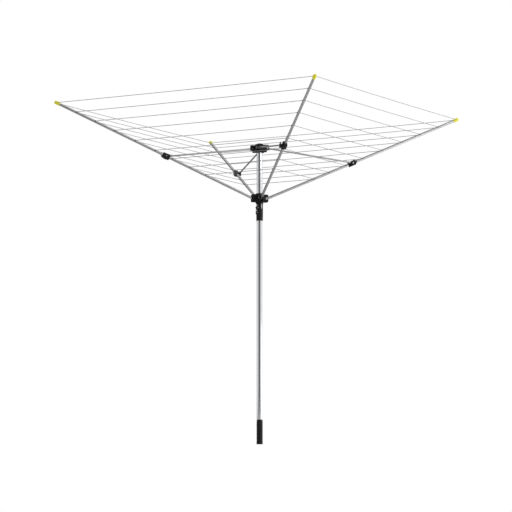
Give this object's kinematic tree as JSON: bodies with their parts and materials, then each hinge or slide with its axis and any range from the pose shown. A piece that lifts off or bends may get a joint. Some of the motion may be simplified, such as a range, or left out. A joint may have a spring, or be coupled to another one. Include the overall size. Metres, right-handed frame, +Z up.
{
  "type": "rotary clothesline",
  "caption": "Umbrella-type rotary clothesline: a turning mast in a ground sleeve, and line-strung arms that fold on a sliding runner.",
  "frame": {"origin": "centre of the foot's flat bottom face", "axes": "+Z up along the mast; the four arms point along +X, +Y, -X and -Y"},
  "size_m": [2.5216, 2.5216, 2.0217],
  "materials": {
    "mast_metal": "bright drawn steel tube, polished along its length",
    "arm_metal": "galvanised grey steel tube, satin",
    "tip_plastic": "yellow moulded plastic, soft gloss",
    "nylon": "natural nylon bearing parts",
    "line_cover": "grey PVC-covered line",
    "zinc": "bright zinc-plated pins, rivets and strut ends",
    "black_plastic": "black moulded plastic, fine satin"
  },
  "bodies": {
    "base": {"foot_sleeve": "black_plastic", "thrust_washer": "nylon"},
    "mast": {"mast_tube": "mast_metal", "mast_bush": "nylon", "top_hub": "black_plastic", "top_cap": "black_plastic", "hub_rivet": "zinc", "top_pivot_pin_1": "zinc", "top_pivot_pin_2": "zinc", "top_pivot_pin_3": "zinc", "top_pivot_pin_4": "zinc"},
    "runner": {"runner_hub": "black_plastic", "runner_bush": "nylon", "grip_sleeve": "black_plastic", "latch_pin": "zinc", "latch_spring": "zinc", "arm_pivot_stud_1": "zinc", "arm_pivot_stud_2": "zinc", "arm_pivot_stud_3": "zinc", "arm_pivot_stud_4": "zinc"},
    "latch": {"latch_lever": "black_plastic"},
    "strut_1": {"strut_tube_1": "arm_metal", "strut_inner_end_1": "zinc", "strut_outer_end_1": "black_plastic"},
    "arm_1": {"arm_tube_1": "arm_metal", "arm_root_1": "black_plastic", "tip_cap_1": "tip_plastic", "bracket_1": "black_plastic", "bracket_pin_1": "zinc", "lines_1": "line_cover"},
    "strut_2": {"strut_tube_2": "arm_metal", "strut_inner_end_2": "zinc", "strut_outer_end_2": "black_plastic"},
    "arm_2": {"arm_tube_2": "arm_metal", "arm_root_2": "black_plastic", "tip_cap_2": "tip_plastic", "bracket_2": "black_plastic", "bracket_pin_2": "zinc", "lines_2": "line_cover"},
    "strut_3": {"strut_tube_3": "arm_metal", "strut_inner_end_3": "zinc", "strut_outer_end_3": "black_plastic"},
    "arm_3": {"arm_tube_3": "arm_metal", "arm_root_3": "black_plastic", "tip_cap_3": "tip_plastic", "bracket_3": "black_plastic", "bracket_pin_3": "zinc", "lines_3": "line_cover"},
    "strut_4": {"strut_tube_4": "arm_metal", "strut_inner_end_4": "zinc", "strut_outer_end_4": "black_plastic"},
    "arm_4": {"arm_tube_4": "arm_metal", "arm_root_4": "black_plastic", "tip_cap_4": "tip_plastic", "bracket_4": "black_plastic", "bracket_pin_4": "zinc", "lines_4": "line_cover"}
  },
  "joints": [
    {"name": "mast_spin", "type": "hinge", "parent": "base", "child": "mast", "pos_m": [0, 0, 0.145], "axis": [0, 0, 1], "continuous": true},
    {"name": "runner_slide", "type": "slide", "parent": "mast", "child": "runner", "axis": [0, 0, 1], "range_m": [-0.82338, 0], "deforming": ["lines_1", "lines_2", "lines_3", "lines_4"]},
    {"name": "latch_press", "type": "hinge", "parent": "runner", "child": "latch", "pos_m": [-0.02031, -0.0137, 1.421], "axis": [0.5592, -0.829, 0], "range_deg": [0, 6], "stiffness_Nm_per_rad": 0.6, "springref_deg": -2.86, "deforming": ["latch_spring"]},
    {"name": "strut_fold_1", "type": "hinge", "parent": "mast", "child": "strut_1", "pos_m": [0.041, -0.0205, 1.783], "axis": [0, 1, 0], "range_deg": [0, 82.82]},
    {"name": "arm_fold_1", "type": "hinge", "parent": "strut_1", "child": "arm_1", "pos_m": [0.57808, -0.0205, 1.71488], "axis": [0, 1, 0], "range_deg": [-149.02, 0]},
    {"name": "strut_fold_2", "type": "hinge", "parent": "mast", "child": "strut_2", "pos_m": [0.0205, 0.041, 1.783], "axis": [-1, 0, 0], "range_deg": [0, 82.82]},
    {"name": "arm_fold_2", "type": "hinge", "parent": "strut_2", "child": "arm_2", "pos_m": [0.0205, 0.57808, 1.71488], "axis": [-1, 0, 0], "range_deg": [-149.02, 0]},
    {"name": "strut_fold_3", "type": "hinge", "parent": "mast", "child": "strut_3", "pos_m": [-0.041, 0.0205, 1.783], "axis": [0, -1, 0], "range_deg": [0, 82.82]},
    {"name": "arm_fold_3", "type": "hinge", "parent": "strut_3", "child": "arm_3", "pos_m": [-0.57808, 0.0205, 1.71488], "axis": [0, -1, 0], "range_deg": [-149.02, 0]},
    {"name": "strut_fold_4", "type": "hinge", "parent": "mast", "child": "strut_4", "pos_m": [-0.0205, -0.041, 1.783], "axis": [1, 0, 0], "range_deg": [0, 82.82]},
    {"name": "arm_fold_4", "type": "hinge", "parent": "strut_4", "child": "arm_4", "pos_m": [-0.0205, -0.57808, 1.71488], "axis": [1, 0, 0], "range_deg": [-149.02, 0]}
  ],
  "couplings": [
    {"joint": "strut_fold_1", "follows": "runner_slide", "rad_per_m": -1.7545},
    {"joint": "arm_fold_1", "follows": "runner_slide", "rad_per_m": 3.1578},
    {"joint": "strut_fold_2", "follows": "runner_slide", "rad_per_m": -1.7545},
    {"joint": "arm_fold_2", "follows": "runner_slide", "rad_per_m": 3.1578},
    {"joint": "strut_fold_3", "follows": "runner_slide", "rad_per_m": -1.7545},
    {"joint": "arm_fold_3", "follows": "runner_slide", "rad_per_m": 3.1578},
    {"joint": "strut_fold_4", "follows": "runner_slide", "rad_per_m": -1.7545},
    {"joint": "arm_fold_4", "follows": "runner_slide", "rad_per_m": 3.1578}
  ]
}
